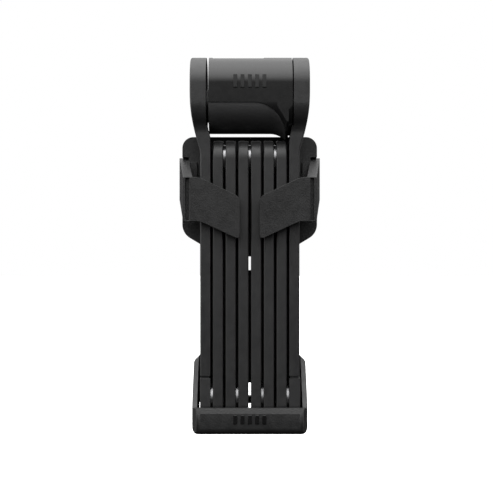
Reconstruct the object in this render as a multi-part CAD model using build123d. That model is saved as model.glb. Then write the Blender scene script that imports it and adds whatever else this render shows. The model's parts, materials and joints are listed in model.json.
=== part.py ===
"""Folding bike lock, folded flat and seated in its frame bracket.

Eight bars stand side by side: a left arm, six links and a right arm. Seven rivets join them in a zigzag,
at the bottom and the top in turn. The lock body turns on a pin in the right arm and holds a stud on the
left arm. The bracket is a back plate with a cup under the bars and two springy wings in front of them.

The model is worked out in a frame of its own: X across the stack, -Y to the front, Z up, with z = 0 at the
bottom rivets. Each part is moved on export, so that the origin is the centre of the two mounting slots on
the bracket's back face.
"""
import math
import os

from build123d import *

# ---- bars -----------------------------------------------------------------------------------------
LINK_COUNT = 6
PIVOT_SPACING = 118.0          # bottom rivet to top rivet
BAR_WIDTH = 18.0               # of a coated bar, front to back
LINK_THICKNESS = 5.0           # of a coated bar
COAT = 0.5                     # moulded coat on a steel bar
LINK_GAP = 1.2                 # between two coated bars
EDGE_ROUND = 0.7               # on the coat's long edges

BAR_COUNT = LINK_COUNT + 2
PITCH = LINK_THICKNESS + LINK_GAP
BAR_X = [(i - (BAR_COUNT - 1) / 2) * PITCH for i in range(BAR_COUNT)]
STEEL_THICKNESS = LINK_THICKNESS - 2 * COAT
BAR_RADIUS = BAR_WIDTH / 2
STEEL_RADIUS = BAR_RADIUS - COAT
STACK_HALF = BAR_X[-1] + LINK_THICKNESS / 2
BAR_FOOT_CORNER = BAR_RADIUS - 2.5     # at a bar's lower end, which must turn clear of the back plate

# ---- rivets and washers ---------------------------------------------------------------------------
RIVET_RADIUS = 4.0
RIVET_HEAD_RADIUS = 5.5
RIVET_HEAD_DEPTH = 1.2
WASHER_RADIUS = 7.0
RUNNING_FIT = 0.05             # radial, where a bar turns on its rivet
SIDE_PLAY = 0.05               # beside a washer, on each face
WASHER_ROOM = 0.3              # round a washer, in the coats
PLAY = 0.1
PAST = 1.0                     # how far a cutting shape reaches past what it cuts

# ---- lock body ------------------------------------------------------------------------------------
BODY_RADIUS = 14.2             # round bottom and round top, seen from the side
BODY_RISE = 9.55               # upper round above the lower one
BODY_CLEARANCE = 0.35          # flange above the bars' round ends
COVER_THICKNESS = 1.6
COVER_STEP = 0.5               # how far the cover stands proud of the bare core
FLANGE_PROUD = 2.7             # right end of the body, beyond the body's own radius
FLARE_RADIUS = 11.0            # hollow curve from the core up to the flange
CUTOUT_WIDTH = 15.4            # quarter round that ends the cover's lower edge
HEAD_STEP = 3.0                # arms' heads, in from the stack's sides
LEFT_GAP = 1.2                 # between the body and the left arm's head
RIGHT_GAP = 0.6
FLANGE_RADIUS = BODY_RADIUS + FLANGE_PROUD
BODY_PIVOT_Z = PIVOT_SPACING + BAR_RADIUS + BODY_CLEARANCE + FLANGE_RADIUS    # stud and pivot pin
BODY_TOP_Z = BODY_PIVOT_Z + BODY_RISE
HEAD_INNER = STACK_HALF - HEAD_STEP
BODY_LEFT = LEFT_GAP - HEAD_INNER
BODY_RIGHT = HEAD_INNER - RIGHT_GAP
FLANGE_RIGHT = BODY_RIGHT - 1.9      # where the flange's rim stops short of the right arm
FLARE_START = BODY_RIGHT - 10.7
CUTOUT_START = BODY_RIGHT - 18.4     # where the cover's lower edge starts to curve down
CUTOUT_DEPTH = FLANGE_RADIUS + 1.4
CORE_RADIUS = BODY_RADIUS - COVER_STEP
INNER_RADIUS = BODY_RADIUS - COVER_THICKNESS

# ---- arms -----------------------------------------------------------------------------------------
HEAD_THICKNESS = 7.8
ARM_STEEL = STEEL_THICKNESS
HEAD_STEEL_MARGIN = 1.7        # steel inside the outline of the head
NECK_FILLET = 8.0
NECK_OUTER = [BODY_PIVOT_Z + d for d in (-25.25, -19.25, -13.25, 5.75)]     # outer bend's ends and handles
NECK_INNER = [BODY_PIVOT_Z + d for d in (-22.25, -15.25, -9.25, -2.25)]     # the same for the inner bend
STEEL_BEND = (BODY_PIVOT_Z - 22.75, BODY_PIVOT_Z - 9.25)
SWEEP_ROOM = 0.4               # round the turning body, in the arms' covers
HEAD_EDGE = 1.0
END_CAP_TOP = 10.5
END_CAP_SEAM = 1.2
RIGHT_CAP_PROUD = 0.4
HEAD_OUTER = HEAD_INNER + HEAD_THICKNESS
HEAD_STEEL = HEAD_INNER + (HEAD_THICKNESS - ARM_STEEL) / 2
SWEEP_RADIUS = BODY_RADIUS + SWEEP_ROOM

# ---- stud, pivot pin and keeper ---------------------------------------------------------------------
STUD_COLLAR_RADIUS = 8.15
STUD_COLLAR_PLAY = 0.1
STUD_NECK_RADIUS = 3.0
STUD_HEAD_RADIUS = 4.0
STUD_NECK_LENGTH = 4.1         # inside the body
STUD_REACH = 11.4
STUD_ROOM = 0.4
STUD_TIP_CHAMFER = 0.8
PIN_RADIUS = 4.5
PIN_REACH = 12.3               # into the body
PIN_GROOVE_DEPTH = 1.5
PIN_GROOVE = (BODY_RIGHT - 9.7, BODY_RIGHT - 6.5)
KEEPER_RADIUS = 1.5
KEEPER_PLAY = 0.1
PIN_WASHER_RADIUS = 8.0
STUD_NECK_END = BODY_LEFT + STUD_NECK_LENGTH
STUD_TIP = BODY_LEFT + STUD_REACH
PIN_TIP = BODY_RIGHT - PIN_REACH
PIN_GROOVE_RADIUS = PIN_RADIUS - PIN_GROOVE_DEPTH

# ---- cylinder, cam and bolt -------------------------------------------------------------------------
BARREL_RADIUS = 7.5
BARREL_BOTTOM = BODY_PIVOT_Z + 9.15
BARREL_TOP = BODY_TOP_Z + 8.4
BARREL_PIN_RADIUS = 1.25
PLUG_RADIUS = 5.4
PLUG_PLAY = 0.1                # under and over the plug
DISC_COUNT = 5
DISC_RADIUS = 4.35
DISC_THICKNESS = 0.9
DISC_PITCH = 1.15
KEYWAY = (1.4, 6.0)
CAM_RADIUS = 11.2
CAM_HEIGHT = (BODY_PIVOT_Z + 6.45, BODY_PIVOT_Z + 9.05)
CAM_GROOVE_DEPTH = 1.7
CAM_BOSS = 5.0
CAM_BOSS_HEIGHT = 1.8
BOLT_TRAVEL = 6.0
BOLT_PIN_START = 2.6           # bolt pin from the plug's axis, bolt drawn back
BOLT_PIN_RADIUS = 1.5
BOLT_PIN_ROOM = 0.25
BOLT_PLATE = (BODY_PIVOT_Z + 4.65, BODY_PIVOT_Z + 6.15)
BOLT_TIP = STUD_TIP + 1.6
BOLT_TAIL = 3.0
BOLT_BAR = (STUD_HEAD_RADIUS + 1.0, STUD_HEAD_RADIUS + 5.0)    # bar behind the stud, front and back faces
BOLT_BAR_BOTTOM = BODY_PIVOT_Z - 3.65
BOLT_PLATE_FRONT = -4.0
BOLT_ROOM = 0.3

# ---- keyhole cover ----------------------------------------------------------------------------------
SLIDER_RANGE = (-6.8, 7.0)
SLIDER_TRAVEL = 11.5
SLIDER_THICKNESS = 1.1
SLIDER_ROOM = 0.1
SLIDER_HALF_ANGLE = 30.0
SLIDER_RAISED_HALF_ANGLE = 21.0
SLIDER_RIB_COUNT = 4
SLIDER_RIB_WIDTH = 1.0
SLIDER_RIB_MARGIN = 4.0        # degrees by which a rib is shorter at each end
SLIDER_CROWN_DROP = 0.9        # of the raised middle, below the body's outline
SLIDER_RIB_DROP = 0.4
SLIDER_ANGLE_PLAY = 1.0        # degrees

# ---- bracket ----------------------------------------------------------------------------------------
BACK_PLATE = (BAR_RADIUS + 1.0, BODY_RADIUS + 0.8)    # front and back faces, the back clear of the heads
SHOULDER_HALF = STACK_HALF + 9.9
SHOULDER_CLEARANCE = 0.43      # under the body's flange
SHOULDER_TOP = BODY_PIVOT_Z - math.sqrt(FLANGE_RADIUS**2 - BACK_PLATE[0] ** 2) - SHOULDER_CLEARANCE
SHOULDER_SIDE_BOTTOM = SHOULDER_TOP - 48.8     # where the lower edge starts to slope in to the spine
SHOULDER_BOTTOM = SHOULDER_TOP - 55.8
SHOULDER_CORNER = 5.6
SHOULDER_LOWER_CORNER = 8.0
SPINE_HALF = STACK_HALF - 1.7
SPINE_FILLET = 2.0
CUP_HALF = STACK_HALF + 3.8
CUP_WALL = 2.4
CUP_FRONT = -BAR_RADIUS - 4.5
CUP_FRONT_WALL = 3.0
CUP_BOTTOM = -BAR_RADIUS - 7.3
CUP_FLOOR = 3.0
CUP_RIM = 5.7 - BAR_RADIUS
CUP_RIM_BEVEL = 2.6
CUP_BACK_TOP = 20.0
CUP_SIDE_CHAMFER = 3.1
CUP_SIDE_RISE = ((-5.0, 4.0), (4.0, 14.9))    # bends in the top edge of a side wall, as (y, z)
CUP_RIM_FLAT = 2.2
CUP_CORNER = 3.9
CUP_FRONT_CORNER = 4.0
CUP_TOE = 3.5
CUP_INNER_HALF = CUP_HALF - CUP_WALL
CUP_INNER_FRONT = CUP_FRONT + CUP_FRONT_WALL
PAD_CLEARANCE = 0.3
PAD_CORNER = 3.0
PAD_TOP = -BAR_RADIUS - PAD_CLEARANCE
REAR_PAD = (STACK_HALF - 10.2, SHOULDER_TOP - 48.2, SHOULDER_TOP - 16.2)    # half width, bottom and top
SLOT_SPACING = 64.0
SLOT_CENTRE_Z = 34.2
SLOT_WIDTH = 5.6
SLOT_LENGTH = 7.0
SLOT_SEAT = (5.6, 0.8)          # dished seat round a slot, half width and depth
DRAIN = (2.5, CUP_BOTTOM + 6.3, CUP_BOTTOM + 11.7)      # half width, bottom and top
CORNER_DRAIN = (CUP_INNER_HALF - 1.0, CUP_INNER_HALF, CUP_BOTTOM + 8.3, CUP_BOTTOM + 12.3)

# ---- wings ------------------------------------------------------------------------------------------
WING_BACK_OUTER = STACK_HALF + 11.55
WING_FRONT_OUTER = STACK_HALF + 8.2
WING_BACK = BACK_PLATE[0] + 3.0      # back face, let into the back plate
WING_SIDE = 4.7                      # thickness of the side arm
WING_FRONT = (-BAR_RADIUS - 3.9, -BAR_RADIUS - 1.2)    # front and inner faces of the panel
WING_SIDE_TOP = SHOULDER_TOP - 10.4  # at the back
WING_SIDE_BOTTOM = SHOULDER_TOP - 31.7
WING_PANEL_TOP = SHOULDER_TOP - 22.0      # at the front corner
WING_TOP_KNEE = STACK_HALF + 0.4     # where the top edge starts to slope, from the middle
WING_BOTTOM_KNEE = (STACK_HALF - 1.7, SHOULDER_TOP - 44.0)
WING_KNEE_FILLET = 10.0
WING_INNER = 4.85
WING_INNER_TOP = SHOULDER_TOP - 31.5
WING_INNER_BOTTOM = SHOULDER_TOP - 53.5
WING_OUTER_BOTTOM = SHOULDER_TOP - 43.3
WING_CORNER = 2.0
WING_GROOVE = (WING_FRONT_OUTER - 3.1, WING_FRONT_OUTER - 1.1, 1.3)    # hinge groove: sides and depth
WING_FOOT = (STACK_HALF + 2.3, 2.4)  # inner edge and thickness of the foot on the back plate
WING_STUD = (2.0, SHOULDER_TOP - 27.2, SHOULDER_TOP - 17.2)    # radius and heights of the foot's two studs
NOTCH_PLAY = 0.2


# ---- shapes along an axis -----------------------------------------------------------------------------
def rod_x(radius, x0, x1, y=0.0, z=0.0):
    """A cylinder from x0 to x1."""
    low = min(x0, x1)
    upright = Cylinder(radius, abs(x1 - x0), align=(Align.CENTER, Align.CENTER, Align.MIN))
    return Pos(low, y, z) * Rot(0, 90, 0) * upright


def rod_y(radius, y0, y1, x, z):
    """A cylinder from y0 to y1."""
    upright = Cylinder(radius, abs(y1 - y0), align=(Align.CENTER, Align.CENTER, Align.MIN))
    return Pos(x, min(y0, y1), z) * Rot(-90, 0, 0) * upright


def rod_z(radius, z0, z1, x=0.0, y=0.0):
    """A cylinder from z0 to z1."""
    return Pos(x, y, z0) * Cylinder(radius, z1 - z0, align=(Align.CENTER, Align.CENTER, Align.MIN))


def block(x0, x1, y0, y1, z0, z1):
    """A box between two corners."""
    centre = Pos((x0 + x1) / 2, (y0 + y1) / 2, (z0 + z1) / 2)
    return centre * Box(abs(x1 - x0), abs(y1 - y0), abs(z1 - z0))


def prism_x(outline, x0, x1):
    """An outline drawn as (y, z), from x0 to x1."""
    return extrude(Plane.YZ.offset(min(x0, x1)) * outline, abs(x1 - x0))


def prism_y(outline, y0, y1):
    """An outline drawn as (x, z), from y0 to y1."""
    return extrude(Plane.XZ.offset(-max(y0, y1)) * outline, abs(y1 - y0))


def slot_outline(radius, z0, z1):
    """Two round ends of one radius, about the heights z0 and z1, as (y, z)."""
    return Pos(0, (z0 + z1) / 2) * SlotCenterToCenter(z1 - z0, 2 * radius, rotation=90)


def polygon(*points):
    return make_face(Polyline(*points, close=True))


def flip(shape):
    """The mirror image across the middle of the stack."""
    return mirror(shape, about=Plane.YZ)


# ---- rivets -------------------------------------------------------------------------------------------
def rivet_height(k):
    """Rivet k joins bars k - 1 and k. The odd ones are at the bottom."""
    return 0.0 if k % 2 else PIVOT_SPACING


def rivet(k):
    """A rivet through the steel of two bars, its heads flush with their outer faces."""
    x0 = BAR_X[k - 1] - STEEL_THICKNESS / 2
    x1 = BAR_X[k] + STEEL_THICKNESS / 2
    z = rivet_height(k)
    shank = rod_x(RIVET_RADIUS, x0, x1, z=z)
    heads = rod_x(RIVET_HEAD_RADIUS, x0, x0 + RIVET_HEAD_DEPTH, z=z)
    heads += rod_x(RIVET_HEAD_RADIUS, x1 - RIVET_HEAD_DEPTH, x1, z=z)
    return shank + heads


def washer(k):
    """A steel collar on the rivet, from the steel of one bar to the steel of the next."""
    x0 = BAR_X[k - 1] + STEEL_THICKNESS / 2
    x1 = BAR_X[k] - STEEL_THICKNESS / 2
    z = rivet_height(k)
    collar = rod_x(WASHER_RADIUS, x0 + SIDE_PLAY, x1 - SIDE_PLAY, z=z)
    return collar - rod_x(RIVET_RADIUS + RUNNING_FIT, x0, x1, z=z)


def rivet_hole(k, bar):
    """What rivet k takes out of a bar's steel. The bar after the rivet turns on it, with play."""
    play = RUNNING_FIT if bar == k else 0.0
    head_play = SIDE_PLAY if bar == k else 0.0
    side = 1 if bar == k else -1
    half = STEEL_THICKNESS / 2
    outer = BAR_X[bar] + side * half
    z = rivet_height(k)
    hole = rod_x(RIVET_RADIUS + play, BAR_X[bar] - half, BAR_X[bar] + half, z=z)
    seat = rod_x(RIVET_HEAD_RADIUS + play, outer, outer - side * (RIVET_HEAD_DEPTH + head_play), z=z)
    return hole + seat


def coat_holes(k, bar):
    """What rivet k and its washer take out of a bar's coat."""
    side = 1 if bar == k else -1
    z = rivet_height(k)
    reach = side * LINK_THICKNESS
    head = rod_x(RIVET_HEAD_RADIUS + WASHER_ROOM, BAR_X[bar], BAR_X[bar] + reach, z=z)
    collar = rod_x(WASHER_RADIUS + WASHER_ROOM, BAR_X[bar], BAR_X[bar] - reach, z=z)
    return head + collar


# ---- links --------------------------------------------------------------------------------------------
def link_plate(i):
    """The steel bar of link i."""
    half = STEEL_THICKNESS / 2
    plate = prism_x(slot_outline(STEEL_RADIUS, 0, PIVOT_SPACING), BAR_X[i] - half, BAR_X[i] + half)
    return plate - rivet_hole(i, i) - rivet_hole(i + 1, i)


def bar_outline():
    """A coated bar seen from the side: round on top, and square below with rounded corners."""
    height = PIVOT_SPACING + BAR_RADIUS
    outline = Pos(0, PIVOT_SPACING - height / 2) * Rectangle(BAR_WIDTH, height)
    outline += Pos(0, PIVOT_SPACING) * Circle(BAR_RADIUS)
    return fillet(outline.vertices().group_by(Axis.Y)[0], BAR_FOOT_CORNER)


def link_coat(i):
    """The coat moulded round the steel bar of link i."""
    half = LINK_THICKNESS / 2
    steel = STEEL_THICKNESS / 2
    coat = prism_x(bar_outline(), BAR_X[i] - half, BAR_X[i] + half)
    coat = fillet(coat.edges().group_by(Axis.X)[0] + coat.edges().group_by(Axis.X)[-1], EDGE_ROUND)
    coat -= prism_x(slot_outline(STEEL_RADIUS, 0, PIVOT_SPACING), BAR_X[i] - steel, BAR_X[i] + steel)
    return coat - coat_holes(i, i) - coat_holes(i + 1, i)


# ---- arms, drawn on the right ---------------------------------------------------------------------------
def arm_side_outline(bar_radius, head_radius):
    """An arm seen from the side: a bar that widens to the lock body's own outline."""
    bar = slot_outline(bar_radius, 0, BODY_PIVOT_Z)
    outline = bar + slot_outline(head_radius, BODY_PIVOT_Z, BODY_TOP_Z)
    top_of_bar = BODY_PIVOT_Z - bar_radius / 2
    neck = [v for v in outline.vertices() if bar_radius * 2 < v.Y < top_of_bar]
    return fillet(neck, NECK_FILLET)


def bend(x0, x1, heights):
    """A smooth double bend from one upright line to another."""
    start, first, second, end = heights
    return Bezier((x0, start), (x0, first), (x1, second), (x1, end))


def arm_front_outline():
    """An arm seen from the front: straight beside the links, then out and up beside the lock body."""
    top = BODY_TOP_Z + BODY_RADIUS
    inner = STACK_HALF - LINK_THICKNESS
    outside = bend(STACK_HALF, HEAD_OUTER, NECK_OUTER)
    inside = bend(inner, HEAD_INNER, NECK_INNER)
    edges = [
        Line((inner, -BAR_RADIUS), (STACK_HALF, -BAR_RADIUS)),
        Line((STACK_HALF, -BAR_RADIUS), outside @ 0),
        outside,
        Line(outside @ 1, (HEAD_OUTER, top)),
        Line((HEAD_OUTER, top), (HEAD_INNER, top)),
        Line((HEAD_INNER, top), inside @ 1),
        inside,
        Line(inside @ 0, (inner, -BAR_RADIUS)),
    ]
    return make_face(edges)


def arm_steel():
    """The cranked steel plate inside an arm."""
    low, high = STEEL_BEND
    inner = BAR_X[-1] - STEEL_THICKNESS / 2
    top = BODY_TOP_Z + BODY_RADIUS
    front = polygon(
        (inner, -BAR_RADIUS),
        (inner + ARM_STEEL, -BAR_RADIUS),
        (inner + ARM_STEEL, low),
        (HEAD_STEEL + ARM_STEEL, high),
        (HEAD_STEEL + ARM_STEEL, top),
        (HEAD_STEEL, top),
        (HEAD_STEEL, high),
        (inner, low),
    )
    side = arm_side_outline(STEEL_RADIUS, BODY_RADIUS - HEAD_STEEL_MARGIN)
    return prism_y(front, -BODY_RADIUS, BODY_RADIUS) & prism_x(side, 0, HEAD_OUTER)


def arm_skin():
    """The whole outer shape of an arm, bar and head, with its outer edges rounded."""
    front = arm_front_outline()
    side = arm_side_outline(BAR_RADIUS, BODY_RADIUS)
    skin = prism_y(front, -BODY_RADIUS, BODY_RADIUS) & prism_x(side, 0, HEAD_OUTER + PAST)
    outer = [e for e in skin.edges() if e.center().X > STACK_HALF - 0.01]
    skin = fillet(outer, HEAD_EDGE)
    return skin


def arm_cover(skin, steel, fixing_radius):
    """The moulded cover of an arm, down to the end cap."""
    low = END_CAP_TOP + END_CAP_SEAM
    cover = skin & block(0, HEAD_OUTER + PAST, -BODY_RADIUS, BODY_RADIUS, low, BODY_TOP_Z * 2)
    cover -= steel
    cover -= rod_x(SWEEP_RADIUS, 0, HEAD_INNER, z=BODY_PIVOT_Z)
    return cover - rod_x(fixing_radius, 0, HEAD_STEEL, z=BODY_PIVOT_Z)


def arm_end_cap(steel, proud):
    """The cap over the rivet head at the foot of an arm."""
    inner = STACK_HALF - LINK_THICKNESS
    cap = prism_x(bar_outline(), inner, STACK_HALF + proud)
    cap = fillet(cap.edges().group_by(Axis.X)[-1], EDGE_ROUND)
    cap &= block(0, HEAD_OUTER, -BAR_RADIUS, BAR_RADIUS, -BAR_RADIUS, END_CAP_TOP)
    return cap - steel - rod_x(WASHER_RADIUS + WASHER_ROOM, 0, BAR_X[-1])


def build_arms():
    """Both arms, each a steel plate, a cover and an end cap."""
    steel = arm_steel()
    skin = arm_skin()
    stud_hole = head_hole(STUD_HEAD_RADIUS)
    pin_hole = head_hole(PIN_RADIUS)
    return {
        "left_arm_plate": flip(steel - flip(rivet_hole(1, 0)) - stud_hole),
        "left_arm_cover": flip(arm_cover(skin, steel, STUD_COLLAR_RADIUS + PLAY)),
        "left_arm_end_cap": flip(arm_end_cap(steel, 0.0)),
        "right_arm_plate": steel - rivet_hole(BAR_COUNT - 1, BAR_COUNT - 1) - pin_hole,
        "right_arm_cover": arm_cover(skin, steel, PIN_WASHER_RADIUS + WASHER_ROOM),
        "right_arm_end_cap": arm_end_cap(steel, RIGHT_CAP_PROUD),
    }


def head_hole(radius):
    """What a riveted stud or pin takes out of the steel of an arm's head."""
    outer = HEAD_STEEL + ARM_STEEL
    hole = rod_x(radius, HEAD_STEEL, outer, z=BODY_PIVOT_Z)
    return hole + rod_x(radius + RIVET_HEAD_DEPTH, outer - RIVET_HEAD_DEPTH, outer, z=BODY_PIVOT_Z)


# ---- stud and pivot pin -----------------------------------------------------------------------------
def locking_stud():
    """The stud on the left arm: collar, thin neck and thick head, reaching into the lock body."""
    inner = -HEAD_STEEL
    outer = inner - ARM_STEEL
    collar_face = BODY_LEFT - STUD_COLLAR_PLAY
    stud = rod_x(STUD_HEAD_RADIUS, outer, inner, z=BODY_PIVOT_Z)
    stud += rod_x(STUD_HEAD_RADIUS + RIVET_HEAD_DEPTH, outer, outer + RIVET_HEAD_DEPTH, z=BODY_PIVOT_Z)
    stud += rod_x(STUD_COLLAR_RADIUS, inner, collar_face, z=BODY_PIVOT_Z)
    stud += rod_x(STUD_NECK_RADIUS, collar_face, STUD_NECK_END, z=BODY_PIVOT_Z)
    head = rod_x(STUD_HEAD_RADIUS, STUD_NECK_END, STUD_TIP, z=BODY_PIVOT_Z)
    head = chamfer(head.edges().group_by(Axis.X)[-1], STUD_TIP_CHAMFER)
    return stud + head


def pivot_pin():
    """The pin on the right arm that the lock body turns on, with a groove for its keeper."""
    outer = HEAD_STEEL + ARM_STEEL
    pin = rod_x(PIN_RADIUS, PIN_TIP, outer, z=BODY_PIVOT_Z)
    pin += rod_x(PIN_RADIUS + RIVET_HEAD_DEPTH, outer - RIVET_HEAD_DEPTH, outer, z=BODY_PIVOT_Z)
    ring = rod_x(PIN_RADIUS + PLAY, *PIN_GROOVE, z=BODY_PIVOT_Z)
    ring -= rod_x(PIN_GROOVE_RADIUS, *PIN_GROOVE, z=BODY_PIVOT_Z)
    return pin - ring


def pivot_washer():
    """The spacer between the lock body and the steel of the right arm."""
    washer_ring = rod_x(PIN_WASHER_RADIUS, BODY_RIGHT + PLAY, HEAD_STEEL, z=BODY_PIVOT_Z)
    return washer_ring - rod_x(PIN_RADIUS, BODY_RIGHT, HEAD_STEEL, z=BODY_PIVOT_Z)


# ---- lock body ----------------------------------------------------------------------------------------
def body_stadium(radius, x0=BODY_LEFT, x1=BODY_RIGHT):
    return prism_x(slot_outline(radius, BODY_PIVOT_Z, BODY_TOP_Z), x0, x1)


def body_flange():
    """The flange at the body's right end, with a hollow flare up to it, flat in front and behind."""
    rise = FLANGE_RADIUS - CORE_RADIUS
    reach = math.sqrt(FLARE_RADIUS**2 - (FLARE_RADIUS - rise) ** 2)
    start = Vector(FLARE_START, CORE_RADIUS)
    lip = Vector(FLARE_START + reach, FLANGE_RADIUS)
    flare = TangentArc(start, lip, tangent=(1, 0))
    profile = make_face([
        Line((FLARE_START, 0), start),
        flare,
        Line(flare @ 1, (FLANGE_RIGHT, FLANGE_RADIUS)),
        Line((FLANGE_RIGHT, FLANGE_RADIUS), (FLANGE_RIGHT, SWEEP_RADIUS)),
        Line((FLANGE_RIGHT, SWEEP_RADIUS), (BODY_RIGHT, BODY_RADIUS)),
        Line((BODY_RIGHT, BODY_RADIUS), (BODY_RIGHT, 0)),
        Line((BODY_RIGHT, 0), (FLARE_START, 0)),
    ])
    turned = revolve(Plane.XY * profile, Axis.X)
    turned = Pos(0, 0, BODY_PIVOT_Z) * turned
    return turned & block(BODY_LEFT, BODY_RIGHT, -BODY_RADIUS, BODY_RADIUS, 0, BODY_PIVOT_Z)


def cutout_outline():
    """The part of the front view, as (x, z), where the core is bare: low down, left of a quarter round."""
    low = BODY_PIVOT_Z - CUTOUT_DEPTH
    centre = (CUTOUT_START, low)
    quarter = EllipticalCenterArc(centre, CUTOUT_WIDTH, CUTOUT_DEPTH, start_angle=0, arc_size=90)
    return make_face([
        quarter,
        Line(quarter @ 1, (BODY_LEFT - PAST, BODY_PIVOT_Z)),
        Line((BODY_LEFT - PAST, BODY_PIVOT_Z), (BODY_LEFT - PAST, low)),
        Line((BODY_LEFT - PAST, low), quarter @ 0),
    ])


def stud_channel():
    """The T-shaped way for the stud, open to the back: narrow for its neck, wide for its head."""
    back = BODY_RADIUS + PLAY
    neck = STUD_NECK_RADIUS + STUD_ROOM
    head = STUD_HEAD_RADIUS + STUD_ROOM
    step = STUD_NECK_END - STUD_ROOM
    end = STUD_TIP + STUD_ROOM
    way = rod_x(neck, BODY_LEFT - PAST, step, z=BODY_PIVOT_Z)
    way += block(BODY_LEFT - PAST, step, 0, back, BODY_PIVOT_Z - neck, BODY_PIVOT_Z + neck)
    way += rod_x(head, step, end, z=BODY_PIVOT_Z)
    return way + block(step, end, 0, back, BODY_PIVOT_Z - head, BODY_PIVOT_Z + head)


def bolt_room():
    """The hollow that the bolt and the cam move in."""
    low, high = BOLT_PLATE
    left = BOLT_TIP - BOLT_TRAVEL - BOLT_ROOM
    right = BOLT_TAIL + BOLT_ROOM
    front, back = BOLT_BAR
    plate_front = BOLT_PLATE_FRONT - BOLT_ROOM
    plate = block(left, right, plate_front, back + BOLT_ROOM, low - BOLT_ROOM, high + BOLT_ROOM)
    bar = block(left, right, front - BOLT_ROOM, back + BOLT_ROOM, BOLT_BAR_BOTTOM - BOLT_ROOM, high)
    return plate + bar + rod_z(CAM_RADIUS + BOLT_ROOM, high, BARREL_BOTTOM)


def slider_track():
    """The curved pocket that the keyhole cover slides in, under the lips of the body's cover."""
    x0 = SLIDER_RANGE[0] - SLIDER_TRAVEL - SLIDER_ROOM
    x1 = SLIDER_RANGE[1] + SLIDER_ROOM
    inner = INNER_RADIUS - SLIDER_THICKNESS - 2 * SLIDER_ROOM
    return sector(inner, INNER_RADIUS, SLIDER_HALF_ANGLE + SLIDER_ANGLE_PLAY, x0, x1)


def sector(inner, outer, half_angle, x0, x1):
    """Part of a ring about the body's upper round, evenly to both sides of the top."""
    ring = prism_x(Circle(outer) - Circle(inner), x0, x1)
    reach = 2 * outer
    side = reach * math.tan(math.radians(half_angle))
    wedge = prism_x(polygon((0, 0), (side, reach), (-side, reach)), x0, x1)
    return Pos(0, 0, BODY_TOP_Z) * (ring & wedge)


def keeper_height():
    return BODY_PIVOT_Z + PIN_GROOVE_RADIUS + KEEPER_PLAY + KEEPER_RADIUS


def keeper_x():
    return sum(PIN_GROOVE) / 2


def barrel_pin_height():
    return (BARREL_BOTTOM + BARREL_TOP) / 2


def pin_keeper():
    """The cross pin that holds the body on its pivot pin."""
    reach = INNER_RADIUS - PLAY
    return rod_y(KEEPER_RADIUS, -reach, reach, keeper_x(), keeper_height())


def barrel_pin():
    """The cross pin that holds the barrel in the core."""
    return rod_y(BARREL_PIN_RADIUS, -PIN_RADIUS * 2, PIN_RADIUS * 2, BARREL_RADIUS, barrel_pin_height())


def build_body_shells():
    """The core that everything sits in, and the cover over its top and right end."""
    outer = body_stadium(BODY_RADIUS) + body_flange()
    bare = body_stadium(CORE_RADIUS) + body_flange()
    bare &= prism_y(cutout_outline(), -BODY_RADIUS - PAST, BODY_RADIUS + PAST)
    core = body_stadium(INNER_RADIUS) + bare
    cover = outer - prism_y(cutout_outline(), -BODY_RADIUS - PAST, BODY_RADIUS + PAST) - body_stadium(INNER_RADIUS)
    core = core - stud_channel() - bolt_room() - slider_track() - pin_keeper() - barrel_pin()
    core -= rod_x(PIN_RADIUS + RUNNING_FIT, PIN_TIP - STUD_ROOM, BODY_RIGHT, z=BODY_PIVOT_Z)
    core -= rod_z(BARREL_RADIUS, BARREL_BOTTOM, BODY_TOP_Z + BODY_RADIUS)
    opening = sector(
        INNER_RADIUS - PLAY,
        BODY_RADIUS + PLAY,
        SLIDER_RAISED_HALF_ANGLE + SLIDER_ANGLE_PLAY,
        SLIDER_RANGE[0] - SLIDER_TRAVEL,
        SLIDER_RANGE[1],
    )
    cover = cover - stud_channel() - opening
    return {"body_core": core, "body_cover": cover}


# ---- cylinder -----------------------------------------------------------------------------------------
def key_barrel():
    """The fixed barrel round the plug."""
    barrel = rod_z(BARREL_RADIUS, BARREL_BOTTOM, BARREL_TOP)
    barrel -= rod_z(PLUG_RADIUS + RUNNING_FIT, BARREL_BOTTOM, BARREL_TOP)
    return barrel - barrel_pin()


def disc_bottom():
    return BARREL_TOP - PLUG_PLAY - DISC_COUNT * DISC_PITCH


def key_plug():
    """The plug that the key turns: a cup for the discs, with a square socket below for the cam."""
    plug = rod_z(PLUG_RADIUS, BARREL_BOTTOM + PLUG_PLAY, BARREL_TOP - PLUG_PLAY)
    plug -= rod_z(DISC_RADIUS + RUNNING_FIT, disc_bottom(), BARREL_TOP)
    half = CAM_BOSS / 2 + RUNNING_FIT
    top = CAM_HEIGHT[1] + CAM_BOSS_HEIGHT + RUNNING_FIT
    return plug - block(-half, half, -half, half, BARREL_BOTTOM, top)


def lock_discs():
    """The stack of discs in the plug, each with a slot for the key."""
    width, length = KEYWAY
    discs = []
    for n in range(DISC_COUNT):
        z = disc_bottom() + n * DISC_PITCH
        disc = rod_z(DISC_RADIUS, z, z + DISC_THICKNESS)
        discs.append(disc - block(-width / 2, width / 2, -length / 2, length / 2, z, z + DISC_THICKNESS))
    return Compound(children=discs)


def cam_disc():
    """The cam under the plug. Its spiral groove draws the bolt's pin outwards evenly as it turns."""
    low, high = CAM_HEIGHT
    cam = rod_z(CAM_RADIUS, low, high)
    half = CAM_BOSS / 2
    cam += block(-half, half, -half, half, high, high + CAM_BOSS_HEIGHT)
    groove = extrude(Plane.XY.offset(low) * spiral_groove(), CAM_GROOVE_DEPTH)
    return cam - groove


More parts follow.
